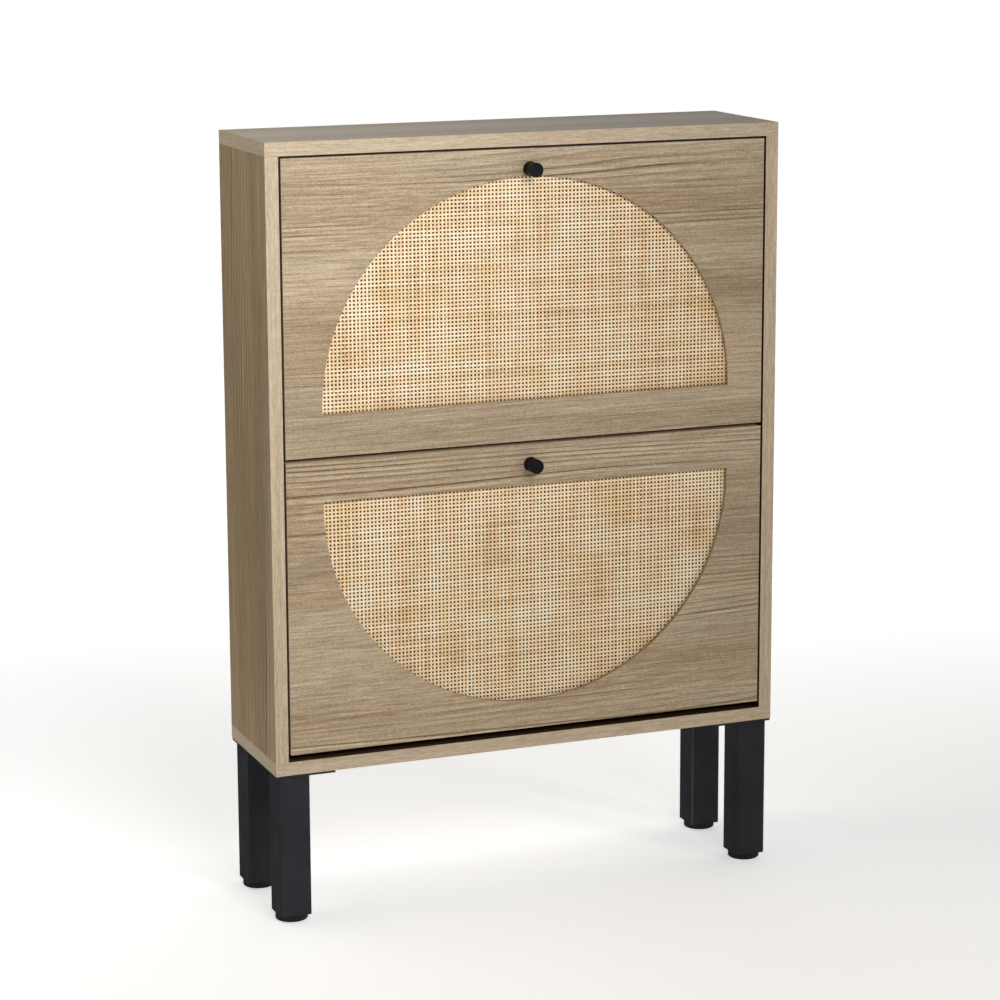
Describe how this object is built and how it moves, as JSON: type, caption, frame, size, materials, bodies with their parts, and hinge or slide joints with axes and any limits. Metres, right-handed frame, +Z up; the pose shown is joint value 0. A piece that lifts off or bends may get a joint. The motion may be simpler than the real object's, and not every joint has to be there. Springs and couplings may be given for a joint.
{
  "type": "shoe cabinet",
  "caption": "Slim free-standing shoe cabinet with tilt-out flaps, half-round cane insets, round knobs and square metal legs with levelling feet.",
  "frame": {"origin": "on the floor, at the centre of the box that holds the whole cabinet with its knobs", "axes": "+Z up, -Y out of the front, +X to the right of someone facing the front"},
  "size_m": [0.6, 0.185, 0.86],
  "materials": {
    "oak_board": "printed oak melamine, satin",
    "hardboard": "smooth hardboard",
    "cane": "natural woven cane",
    "beech": "fluted dowel, dry",
    "black_steel": "fine black powder coat",
    "black_knob": "matt black",
    "black_plastic": "moulded, matt",
    "nylon": "natural nylon",
    "zinc_steel": "zinc plated"
  },
  "bodies": {
    "carcass": {"back_panel": "hardboard", "bottom_panel": "oak_board", "cam_bolts": "zinc_steel", "cam_locks": "zinc_steel", "front_left_foot_insert": "black_plastic", "front_left_leg_plate": "black_steel", "front_left_leg_tube": "black_steel", "front_right_foot_insert": "black_plastic", "front_right_leg_plate": "black_steel", "front_right_leg_tube": "black_steel", "left_side_panel": "oak_board", "leg_plate_screws": "zinc_steel", "middle_divider": "oak_board", "pivot_bushes": "nylon", "rear_left_foot_insert": "black_plastic", "rear_left_leg_plate": "black_steel", "rear_left_leg_tube": "black_steel", "rear_right_foot_insert": "black_plastic", "rear_right_leg_plate": "black_steel", "rear_right_leg_tube": "black_steel", "right_side_panel": "oak_board", "stop_pins": "zinc_steel", "top_panel": "oak_board", "wood_dowels": "beech"},
    "upper_flap": {"upper_bracket_screws": "zinc_steel", "upper_cane_backing": "hardboard", "upper_cane_webbing": "cane", "upper_door_panel": "oak_board", "upper_knob": "black_knob", "upper_knob_screw": "zinc_steel", "upper_left_rack_bracket": "black_plastic", "upper_pivot_pins": "zinc_steel", "upper_rack_back": "oak_board", "upper_rack_floor": "oak_board", "upper_right_rack_bracket": "black_plastic"},
    "lower_flap": {"lower_bracket_screws": "zinc_steel", "lower_cane_backing": "hardboard", "lower_cane_webbing": "cane", "lower_door_panel": "oak_board", "lower_knob": "black_knob", "lower_knob_screw": "zinc_steel", "lower_left_rack_bracket": "black_plastic", "lower_pivot_pins": "zinc_steel", "lower_rack_back": "oak_board", "lower_rack_floor": "oak_board", "lower_right_rack_bracket": "black_plastic"},
    "front_left_foot_stud": {"front_left_foot_stud": "zinc_steel"},
    "front_left_foot_pad": {"front_left_foot_pad": "black_plastic"},
    "front_right_foot_stud": {"front_right_foot_stud": "zinc_steel"},
    "front_right_foot_pad": {"front_right_foot_pad": "black_plastic"},
    "rear_left_foot_stud": {"rear_left_foot_stud": "zinc_steel"},
    "rear_left_foot_pad": {"rear_left_foot_pad": "black_plastic"},
    "rear_right_foot_stud": {"rear_right_foot_stud": "zinc_steel"},
    "rear_right_foot_pad": {"rear_right_foot_pad": "black_plastic"}
  },
  "joints": [
    {"name": "upper_flap_tilt", "type": "hinge", "parent": "carcass", "child": "upper_flap", "pos_m": [0, -0.0515, 0.5805], "axis": [1, 0, 0], "range_deg": [0, 50]},
    {"name": "lower_flap_tilt", "type": "hinge", "parent": "carcass", "child": "lower_flap", "pos_m": [0, -0.0515, 0.2525], "axis": [1, 0, 0], "range_deg": [0, 50]},
    {"name": "front_left_foot_lift", "type": "slide", "parent": "carcass", "child": "front_left_foot_stud", "axis": [0, 0, -1], "range_m": [0, 0.0101]},
    {"name": "front_left_foot_turn", "type": "hinge", "parent": "front_left_foot_stud", "child": "front_left_foot_pad", "pos_m": [-0.278, -0.0505, 0], "axis": [0, 0, 1], "range_deg": [0, 2880]},
    {"name": "front_right_foot_lift", "type": "slide", "parent": "carcass", "child": "front_right_foot_stud", "axis": [0, 0, -1], "range_m": [0, 0.0101]},
    {"name": "front_right_foot_turn", "type": "hinge", "parent": "front_right_foot_stud", "child": "front_right_foot_pad", "pos_m": [0.278, -0.0505, 0], "axis": [0, 0, 1], "range_deg": [0, 2880]},
    {"name": "rear_left_foot_lift", "type": "slide", "parent": "carcass", "child": "rear_left_foot_stud", "axis": [0, 0, -1], "range_m": [0, 0.0101]},
    {"name": "rear_left_foot_turn", "type": "hinge", "parent": "rear_left_foot_stud", "child": "rear_left_foot_pad", "pos_m": [-0.278, 0.0705, 0], "axis": [0, 0, 1], "range_deg": [0, 2880]},
    {"name": "rear_right_foot_lift", "type": "slide", "parent": "carcass", "child": "rear_right_foot_stud", "axis": [0, 0, -1], "range_m": [0, 0.0101]},
    {"name": "rear_right_foot_turn", "type": "hinge", "parent": "rear_right_foot_stud", "child": "rear_right_foot_pad", "pos_m": [0.278, 0.0705, 0], "axis": [0, 0, 1], "range_deg": [0, 2880]}
  ],
  "couplings": [
    {"joint": "front_left_foot_lift", "follows": "front_left_foot_turn", "m_per_rad": 0.00019894},
    {"joint": "front_right_foot_lift", "follows": "front_right_foot_turn", "m_per_rad": 0.00019894},
    {"joint": "rear_left_foot_lift", "follows": "rear_left_foot_turn", "m_per_rad": 0.00019894},
    {"joint": "rear_right_foot_lift", "follows": "rear_right_foot_turn", "m_per_rad": 0.00019894}
  ]
}
